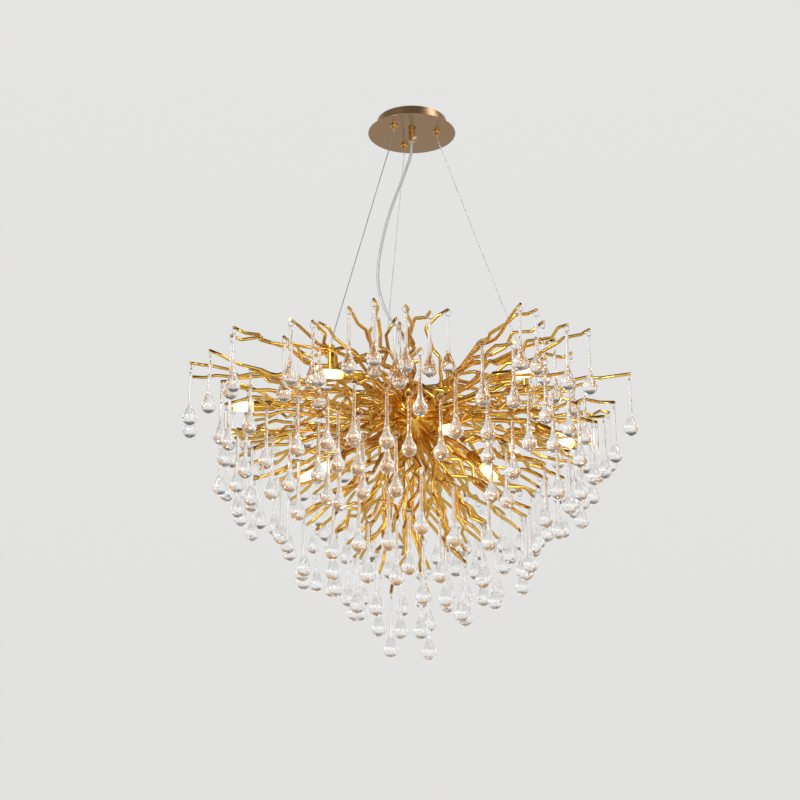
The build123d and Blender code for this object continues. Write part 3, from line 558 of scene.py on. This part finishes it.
def hanging_tree():
    """A copy of one object on each point, turned about Z by the point's own angle."""
    name = "hung_on_tips"
    if name in bpy.data.node_groups:
        return bpy.data.node_groups[name]
    tree, given, out = new_tree(name, (("Item", "NodeSocketObject", None),
                                       ("Material", "NodeSocketMaterial", None)))
    item = tree.nodes.new("GeometryNodeObjectInfo")
    tree.links.new(given.outputs["Item"], item.inputs["Object"])
    turn = tree.nodes.new("GeometryNodeInputNamedAttribute")
    turn.data_type = "FLOAT"
    turn.inputs["Name"].default_value = "turn"
    turned = tree.nodes.new("ShaderNodeCombineXYZ")
    tree.links.new(turn.outputs["Attribute"], turned.inputs["Z"])
    place = tree.nodes.new("GeometryNodeInstanceOnPoints")
    tree.links.new(item.outputs["Geometry"], place.inputs["Instance"])
    tree.links.new(turned.outputs["Vector"], place.inputs["Rotation"])
    tree.links.new(given.outputs["Geometry"], place.inputs["Points"])
    finish_tree(tree, place.outputs["Instances"], given, out)
    return tree


def run_tree(tree, mesh, **inputs):
    """Evaluates a tree on a mesh and returns the plain mesh that comes out."""
    base = in_scene("base", mesh)
    modifier = base.modifiers.new("build", "NODES")
    modifier.node_group = tree
    for item in tree.interface.items_tree:
        label = item.name.replace(" ", "_")
        if item.item_type == "SOCKET" and item.in_out == "INPUT" and label in inputs:
            modifier[item.identifier] = inputs[label]
    base.update_tag()
    shaped = base.evaluated_get(bpy.context.evaluated_depsgraph_get())
    result = bpy.data.meshes.new_from_object(shaped)
    bpy.data.objects.remove(base)
    return result


def hung_copies(pattern, points, material):
    """A mesh with a copy of the pattern on each point, turned to face away from the axis."""
    mesh = bpy.data.meshes.new("points")
    mesh.from_pydata([tuple(p) for p in points], [], [])
    attribute = mesh.attributes.new("turn", "FLOAT", "POINT")
    attribute.data.foreach_set("value", [math.atan2(p.y, p.x) for p in points])
    return run_tree(hanging_tree(), mesh, Item=pattern, Material=material)


# ---------------------------------------------------------------- branches
def joints_and_links(island, reach):
    """Groups a rod's corners into its joints: middles, counts and which ones are linked."""
    verts = list(island)
    tree = KDTree(len(verts))
    for i, vert in enumerate(verts):
        tree.insert(vert.co, i)
    tree.balance()
    group = [-1] * len(verts)
    middles, counts = [], []
    for i in range(len(verts)):
        if group[i] >= 0:
            continue
        number, queue, members = len(middles), [i], []
        group[i] = number
        while queue:
            at = queue.pop()
            members.append(verts[at].co)
            for _, other, _ in tree.find_range(verts[at].co, reach):
                if group[other] < 0:
                    group[other] = number
                    queue.append(other)
        middles.append(sum(members, Vector()) / len(members))
        counts.append(len(members))
    index = {vert: group[i] for i, vert in enumerate(verts)}
    links = {i: set() for i in range(len(middles))}
    for vert in verts:
        for edge in vert.link_edges:
            a, b = index[vert], index[edge.other_vert(vert)]
            if a != b:
                links[a].add(b)
    return middles, counts, links


def way_back(start, goal, middles, links):
    """Shortest way from a tip's joint to the hub's joint."""
    dist, before, left = {start: 0.0}, {}, {start}
    done = set()
    while left:
        at = min(left, key=lambda n: dist[n])
        left.remove(at)
        done.add(at)
        if at == goal:
            break
        for other in links[at]:
            if other in done:
                continue
            far = dist[at] + (middles[at] - middles[other]).length
            if far < dist.get(other, 1e9):
                dist[other], before[other] = far, at
                left.add(other)
    way = [goal]
    while way[-1] != start:
        way.append(before[way[-1]])
    return way


def subdivided(points, longest):
    """The points with equal steps put into the spans that are longer than a length."""
    result = [points[0]]
    for a, b in zip(points, points[1:]):
        steps = max(1, round((b - a).length / longest))
        result += [a.lerp(b, i / steps) for i in range(1, steps + 1)]
    return result


def eased(value):
    """Smooth step from 0 to 1."""
    value = min(max(value, 0.0), 1.0)
    return value * value * (3 - 2 * value)


def swayed(points, own, hub, sway):
    """Pushes a rod's points off its line, by an amount that fades at the hub and at its tips."""
    result = []
    for p in points:
        fade = eased(((p - hub).length - HUB_STILL) / HUB_FADE)
        fade *= eased((min((p - h).length for h in own) - TIP_STILL) / TIP_FADE)
        where = p / SWAY_GRAIN + own[0] * OWN_SWAY
        result.append(p + noise.noise_vector(where) * sway * fade)
    return result


class Obstacles:
    """What a rod must stay clear of: the drops, the lamps, the posts, the cord and the wires."""

    def __init__(self):
        self.eyes = [eye for node in drop_nodes() for eye in drop_eyes(node)]
        self.flat = KDTree(len(self.eyes))
        for i, eye in enumerate(self.eyes):
            self.flat.insert((eye.x, eye.y, 0), i)
        self.flat.balance()
        solid = [node for node in frame["nodes"]
                 if node.startswith(("bulb_", "lamp_", "hanger_arms"))]
        spots = [v.co for node in solid for v in frame["nodes"][node].data.vertices]
        lines = [[Vector(p) for p in CORD_ROUTE]] + [wire_points(number) for number in WIRES]
        spots += [p for line in lines for p in subdivided(line, 4 * MM)]
        self.spots = KDTree(len(spots))
        for i, spot in enumerate(spots):
            self.spots.insert(spot, i)
        self.spots.balance()

    def hit_by(self, points, radius, settings):
        """Whether a rod along the points would touch something."""
        for p in subdivided(points, 5 * MM):
            if self.spots.find(p)[2] < radius + SPOT_GAP:
                return True
            for _, i, apart in self.flat.find_range((p.x, p.y, 0), settings.drop_radius + radius):
                below = self.eyes[i].z - p.z
                ball = eased((below - BALL_FROM) / BALL_FADE) * (settings.drop_radius - NECK_R)
                if -EYE_GAP < below < settings.drop_length and apart < radius + NECK_GAP + ball:
                    return True
        return False


def branch_lines(group, holes, hub, obstacles, settings):
    """Centrelines of a group's rods, hub end first, from the CAD's corners and made crooked."""
    lines = []
    for rods in branch_rods(group, holes, hub):
        own = [points[-1] for points in rods]
        rods = [subdivided(points, SWAY_STEP) for points in rods]
        for sway in SWAYS:
            bent = [swayed(points, own, hub, sway) for points in rods]
            if not any(obstacles.hit_by(points[2:-1], settings.rod_radius, settings)
                       for points in bent):
                break
        for points in bent:
            out = (points[-1] - points[-2]).normalized()
            lines.append(points + [points[-1] + out * TIP_BEYOND])
    return lines


def branch_rods(group, holes, hub):
    """Each branch of a group as its rods' points, from the hub or the fork to the tip's hole."""
    bm = merged_copy(f"{group}_branches")
    branches = []
    for island in islands(bm):
        middles, counts, links = joints_and_links(island, JOINT_REACH)
        root = min(range(len(middles)), key=lambda i: (middles[i] - hub).length)
        own = [h for h in holes if min((m - h).length for m in middles) < HOLE_REACH]
        first_way, rods = None, []
        for hole in own:
            tip = min(range(len(middles)), key=lambda i: (middles[i] - hole).length)
            way = way_back(tip, root, middles, links)
            points = [middles[i] for i in way if counts[i] >= JOINT_CORNERS or i in (tip, root)]
            points[-1] = hole
            if first_way is None:
                first_way = way
            else:
                shared = sum(1 for i in way if i in first_way and counts[i] >= JOINT_CORNERS)
                points = points[max(shared - 2, 0):]
            rods.append(points)
        branches.append(rods)
    bm.free()
    return branches


def line_mesh(lines, settings):
    """The centrelines as chains of edges with a thickness at each point."""
    verts, edges, thick = [], [], []
    for points in lines:
        whole = sum((a - b).length for a, b in zip(points, points[1:]))
        gone = 0.0
        for i, point in enumerate(points):
            if i:
                gone += (point - points[i - 1]).length
                edges.append((len(verts) - 1, len(verts)))
            verts.append(tuple(point))
            share = gone / whole
            thick.append(settings.rod_radius * (1 - share) + settings.twig_radius * share)
        thick[-1] *= 0.86
    mesh = bpy.data.meshes.new("lines")
    mesh.from_pydata(verts, edges, [])
    attribute = mesh.attributes.new("thickness", "FLOAT", "POINT")
    attribute.data.foreach_set("value", thick)
    return mesh


class CHANDELIER_OT_branches(bpy.types.Operator):
    """Sweep the crooked gold branches along the lines that the CAD's rods follow"""
    bl_idname = "chandelier.branches"
    bl_label = "Branches"

    def execute(self, context):
        settings = context.scene.chandelier
        low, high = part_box("hub_shell")
        hub = (Vector(low) + Vector(high)) / 2
        obstacles = Obstacles()
        noise.seed_set(SWAY_SEED)
        for group in GROUPS:
            holes = [m + Vector((0, 0, settings.ring_radius)) for m in ring_middles(group)]
            lines = branch_lines(group, holes, hub, obstacles, settings)
            mesh = run_tree(rod_tree(), line_mesh(lines, settings), Sides=9,
                            Kink_Rounding=settings.kink_rounding, Material=polished_gold())
            new_piece(f"{group}_rods", mesh, polished_gold(), BODY, f"{group}_branches")
        return {"FINISHED"}


# ---------------------------------------------------------------- rings and drops
def drop_profile(settings):
    """Outline of a hanging drop about its eye: rounded top, long neck, flare and ball."""
    ball, top, neck = settings.drop_radius, DROP_TOP, NECK_R
    centre = top - settings.drop_length + ball
    points = [(0.0, centre - ball)]
    for turn in (22, 44, 66, 90, 112):
        angle = math.radians(turn)
        points.append((ball * math.sin(angle), centre - ball * math.cos(angle)))
    start_r, start_z = points[-1]
    end_z = top - settings.drop_length + FLARE_UP
    for t in (0.28, 0.55, 0.8, 1.0):
        ease = (1 - t) ** 1.9
        points.append((neck + (start_r - neck) * ease, start_z + (end_z - start_z) * t))
    points += [(0.86 * neck, -28 * MM), (0.80 * neck, -6 * MM), (0.62 * neck, -2.6 * MM),
               (0.68 * neck, 0.4 * MM), (0.42 * neck, 0.8 * top), (0.0, top)]
    return points


def drop_nodes():
    """The CAD nodes that hold glass drops."""
    swinging = sorted(n for n in frame["nodes"] if n.startswith("swinging_drop"))
    return [f"{group}_drops" for group in GROUPS] + swinging


def drop_eyes(node):
    """Where the eye of each glass drop of a node is."""
    bm = merged_copy(node)
    eyes = []
    for island in islands(bm):
        highest = max(v.co.z for v in island)
        centre = middle([v.co for v in island])
        eyes.append(Vector((centre.x, centre.y, highest - DROP_TOP)))
    bm.free()
    return in_turn(eyes)


class CHANDELIER_OT_drops(bpy.types.Operator):
    """Hang a clear glass drop where each CAD drop is"""
    bl_idname = "chandelier.drops"
    bl_label = "Glass drops"

    def execute(self, context):
        settings = context.scene.chandelier
        pattern = in_scene("drop_pattern",
                           lathe("drop_pattern", drop_profile(settings), settings.drop_sides))
        glass = drawn_glass()
        for node in drop_nodes():
            mesh = hung_copies(pattern, drop_eyes(node), glass)
            body = node if node.startswith("swinging") else BODY
            new_piece(f"{node}_glass", mesh, glass, body, node)
        bpy.data.objects.remove(pattern)
        return {"FINISHED"}


def ring_mesh(radius, wire, around, section):
    """A wire ring about X, as a torus."""
    bm = bmesh.new()
    rows = []
    for i in range(around):
        a = 2 * math.pi * i / around
        row = []
        for j in range(section):
            b = 2 * math.pi * j / section
            out = radius + wire * math.cos(b)
            row.append(bm.verts.new((wire * math.sin(b), out * math.cos(a), out * math.sin(a))))
        rows.append(row)
    for i in range(around):
        for j in range(section):
            a, b = rows[i], rows[(i + 1) % around]
            k = (j + 1) % section
            bm.faces.new((a[j], a[k], b[k], b[j])).smooth = True
    bmesh.ops.recalc_face_normals(bm, faces=bm.faces)
    mesh = bpy.data.meshes.new("ring_pattern")
    bm.to_mesh(mesh)
    bm.free()
    return mesh


class CHANDELIER_OT_rings(bpy.types.Operator):
    """Thread a wire ring through each tip, where the CAD's ring is"""
    bl_idname = "chandelier.rings"
    bl_label = "Wire rings"

    def execute(self, context):
        radius = context.scene.chandelier.ring_radius
        pattern = in_scene("ring_pattern", ring_mesh(radius, 0.5 * MM, around=18, section=5))
        steel = drawn_steel()
        for group in GROUPS:
            mesh = hung_copies(pattern, ring_middles(group), steel)
            new_piece(f"{group}_wire_rings", mesh, steel, BODY, f"{group}_rings")
        bpy.data.objects.remove(pattern)
        return {"FINISHED"}


# ---------------------------------------------------------------- canopy, hub and lamps
def shortened(share, top=0.0):
    """Brings what stands out under the canopy to a share of its length, and not over a top."""
    def reshape(co):
        below = min(co.z - UNDER_CANOPY, 0.0)
        return Vector((co.x, co.y, min(co.z - below * (1 - share), top)))
    return reshape


def flatter_heads(co, reach):
    """Thins the side screws' heads, which the photograph doesn't show standing out."""
    head = reach - HEAD_DEPTH
    if abs(co.x) < head - 0.5 * MM:
        return co
    inward = HEAD_SINK - max(abs(co.x) - head, 0.0) * HEAD_SHARE
    return Vector((math.copysign(head - inward, co.x), co.y, co.z))


class CHANDELIER_OT_canopy(bpy.types.Operator):
    """Finish the ceiling canopy with its bracket, gland, grips and screws"""
    bl_idname = "chandelier.canopy"
    bl_label = "Canopy"

    def execute(self, context):
        outline = [(r * MM, z * MM) for r, z in CANOPY_OUTLINE]
        cup = lathe("canopy_turned", outline, 128, sharp=30)
        new_piece("canopy_turned", cup, champagne_gold(), BODY, "canopy_cup")
        finished_copy("ceiling_bracket", zinc_plate(), edge=0.3 * MM)
        finished_copy("terminal_block", glazed_ceramic(), edge=0.5 * MM)
        brass = turned_brass()
        finished_copy("canopy_nuts", brass, edge=0.2 * MM)
        finished_copy("cord_gland", brass, edge=0.2 * MM,
                      reshape=shortened(GLAND_SHARE))
        finished_copy("wire_grips", brass, edge=0.15 * MM,
                      reshape=shortened(GRIP_SHARE))
        for number in WIRES:
            node = f"grip_plunger_{number}"
            finished_copy(node, brass, body=node,
                          reshape=shortened(GRIP_SHARE, PLUNGER_TOP))
        screws_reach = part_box("canopy_screws")[1][0]
        finished_copy("canopy_screws", brass, edge=0.15 * MM,
                      reshape=lambda co: flatter_heads(co, screws_reach))
        low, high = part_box("gland_screw")
        height = (low[2] + high[2]) / 2
        lift = shortened(GLAND_SHARE)(Vector((0, 0, height))).z - height
        finished_copy("gland_screw", moulded_nylon(), edge=0.2 * MM,
                      reshape=lambda co: co + Vector((0, 0, lift)))
        return {"FINISHED"}


class CHANDELIER_OT_hub(bpy.types.Operator):
    """Finish the hub, its lid and gland, the hanger arms and the post caps"""
    bl_idname = "chandelier.hub"
    bl_label = "Hub"

    def execute(self, context):
        for node in ("hub_shell", "hub_lid", "hub_gland", "hanger_arms", "post_caps"):
            finished_copy(node, polished_gold(), edge=0.2 * MM)
        return {"FINISHED"}


class CHANDELIER_OT_lamps(bpy.types.Operator):
    """Finish the lamp arms, cups and sockets, and light the bulbs"""
    bl_idname = "chandelier.lamps"
    bl_label = "Lamps"

    def execute(self, context):
        finished_copy("lamp_arms", polished_gold(), sharp=50)
        finished_copy("lamp_cups", polished_gold(), sharp=50, edge=0.15 * MM)
        finished_copy("lamp_sockets", glazed_ceramic(), sharp=50)
        for node in sorted(n for n in frame["nodes"] if n.startswith("bulb_")):
            axis = Vector(joint_of(node)["axis"]).normalized()
            mesh = lathe(node, [(r * MM, z * MM) for r, z in BULB_OUTLINE], 20)
            warmth = mesh.attributes.new("warmth", "FLOAT", "POINT")
            warmth.data.foreach_set("value", [abs(v.co.z / MM + GLOW_MIDDLE) / GLOW_MIDDLE
                                              for v in mesh.vertices])
            turn = axis.to_track_quat("Z", "Y").to_matrix().to_4x4()
            mesh.transform(Matrix.Translation(front_of(node, axis)) @ turn)
            new_piece(f"{node}_lit", mesh, frosted_glow(), node, node)
        return {"FINISHED"}


# ---------------------------------------------------------------- cord and wires
def cord_curve(name, points, diameter, material, node):
    """A cord as one smooth NURBS line with its own thickness."""
    data = bpy.data.curves.new(name, "CURVE")
    data.dimensions = "3D"
    data.bevel_depth = diameter / 2
    data.bevel_resolution = 3
    data.resolution_u = 8
    data.use_fill_caps = True
    line = data.splines.new("NURBS")
    line.points.add(len(points) - 1)
    for spot, point in zip(line.points, points):
        spot.co = (*point, 1)
    line.order_u = 3
    line.use_endpoint_u = True
    data.materials.append(material)
    piece = in_scene(name, data)
    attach(piece, BODY)
    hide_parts(node)
    return piece


def wire_points(number):
    """A suspension wire's bends, from the ends of its CAD tube."""
    verts = [v.co.copy() for v in frame["nodes"][f"suspension_wire_{number}"].data.vertices]
    top, bottom = max(v.z for v in verts), min(v.z for v in verts)
    first = middle([v for v in verts if v.z > top - 1e-4])
    last = middle([v for v in verts if v.z < bottom + 1e-4])
    grip_low = shortened(GRIP_SHARE)(Vector(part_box(f"grip_plunger_{number}")[0])).z
    bend = Vector((first.x, first.y, grip_low - WIRE_DROP))
    foot = Vector((last.x, last.y, last.z + WIRE_FOOT))
    run = (foot - bend).normalized() * BEND_RUN * WIRE_DIAMETER
    return [first, bend, bend + run, foot - run, foot, last]


class CHANDELIER_OT_cords(bpy.types.Operator):
    """Run the power cord and the three suspension wires"""
    bl_idname = "chandelier.cords"
    bl_label = "Cord and wires"

    def execute(self, context):
        cord = cord_curve("power_cord_line", CORD_ROUTE, CORD_DIAMETER, braided_jacket(),
                          "power_cord")
        for number in WIRES:
            points = wire_points(number)
            length = sum((a - b).length for a, b in zip(points, points[1:]))
            wire = cord_curve(f"suspension_wire_{number}_line", points, WIRE_DIAMETER,
                              drawn_steel(), f"suspension_wire_{number}")
            tuple(points[0])
        return {"FINISHED"}


# ---------------------------------------------------------------- stage
def area_light(name, place, aim, size, power):
    """A white soft lamp that is turned to what it lights."""
    data = bpy.data.lights.new(name, "AREA")
    data.shape = "RECTANGLE"
    data.size, data.size_y = size
    data.energy = power
    light = in_scene(name, data)
    light.location = place
    light.rotation_euler = (Vector(aim) - Vector(place)).to_track_quat("-Z", "Y").to_euler()


def pale_floor():
    """A matt floor that the camera, metal and glass see about as pale as the surroundings."""
    material, tree, shader = new_material("pale_stage")
    if tree is None:
        return material
    shader.inputs["Base Color"].default_value = (0.36, 0.358, 0.352, 1)
    shader.inputs["Roughness"].default_value = 0.9
    shader.inputs["Emission Color"].default_value = (1, 0.996, 0.98, 1)
    rays = tree.nodes.new("ShaderNodeLightPath").outputs
    seen = linked_math(tree, "MAXIMUM", rays["Is Camera Ray"], rays["Is Glossy Ray"])
    seen = linked_math(tree, "MAXIMUM", seen, rays["Is Transmission Ray"])
    glow = linked_math(tree, "MULTIPLY", seen, FLOOR_GLOW)
    tree.links.new(glow, shader.inputs["Emission Strength"])
    return material


def pale_studio():
    """Surroundings that are pale round the horizon and darker overhead and underfoot."""
    world = bpy.data.worlds.new("studio")
    world.use_nodes = True
    tree = world.node_tree
    where = tree.nodes.new("ShaderNodeTexCoord")
    split = tree.nodes.new("ShaderNodeSeparateXYZ")
    height = add_node(tree, "ShaderNodeMapRange")
    height.inputs["From Min"].default_value = -1.0
    ramp = tree.nodes.new("ShaderNodeValToRGB")
    for i, (at, level) in enumerate(SKY_TONES):
        stop = ramp.color_ramp.elements[i] if i < 2 else ramp.color_ramp.elements.new(at)
        stop.position = at
        stop.color = (level, level * 0.995, level * 0.98, 1)
    tree.links.new(where.outputs["Generated"], split.inputs[0])
    tree.links.new(split.outputs["Z"], height.inputs["Value"])
    tree.links.new(height.outputs["Result"], ramp.inputs["Fac"])
    tree.links.new(ramp.outputs["Color"], tree.nodes["Background"].inputs["Color"])
    return world


class CHANDELIER_OT_stage(bpy.types.Operator):
    """Set up the pale floor and surroundings, the soft lights and the camera"""
    bl_idname = "chandelier.stage"
    bl_label = "Stage"

    def execute(self, context):
        scene = context.scene
        corners = ((-1, -1), (1, -1), (1, 1), (-1, 1))
        mesh = bpy.data.meshes.new("floor")
        mesh.from_pydata([(x * FLOOR_REACH, y * FLOOR_REACH, FLOOR_Z) for x, y in corners],
                         [], [(0, 1, 2, 3)])
        mesh.materials.append(pale_floor())
        floor = in_scene("floor", mesh)
        scene.world = pale_studio()
        for lamp in LAMPS:
            area_light(*lamp)

        data = bpy.data.cameras.new("camera")
        data.lens = CAMERA_LENS
        data.sensor_width = 36.0
        camera = in_scene("camera", data)
        camera.location = CAMERA_PLACE
        camera.rotation_euler = (math.pi / 2 + CAMERA_PITCH, 0, 0)
        scene.camera = camera
        scene.view_settings.view_transform = "Standard"
        return {"FINISHED"}


class CHANDELIER_PT_panel(bpy.types.Panel):
    """Buttons for each group of pieces"""
    bl_idname = "CHANDELIER_PT_panel"
    bl_label = "Chandelier"
    bl_space_type = "VIEW_3D"
    bl_region_type = "UI"
    bl_category = "Chandelier"

    def draw(self, context):
        for name in ChandelierSettings.__annotations__:
            self.layout.prop(context.scene.chandelier, name)
        for operator in OPERATORS:
            self.layout.operator(operator.bl_idname)


OPERATORS = (CHANDELIER_OT_stage, CHANDELIER_OT_cords, CHANDELIER_OT_canopy, CHANDELIER_OT_hub,
             CHANDELIER_OT_lamps, CHANDELIER_OT_branches, CHANDELIER_OT_rings, CHANDELIER_OT_drops)
CLASSES = (ChandelierSettings, *OPERATORS, CHANDELIER_PT_panel)


def register():
    for item in CLASSES:
        bpy.utils.register_class(item)
    bpy.types.Scene.chandelier = PointerProperty(type=ChandelierSettings)


def unregister():
    del bpy.types.Scene.chandelier
    for item in reversed(CLASSES):
        bpy.utils.unregister_class(item)


def main():
    register()
    for operator in OPERATORS:
        group, name = operator.bl_idname.split(".")
        getattr(getattr(bpy.ops, group), name)()


if __name__ == "__main__":
    main()
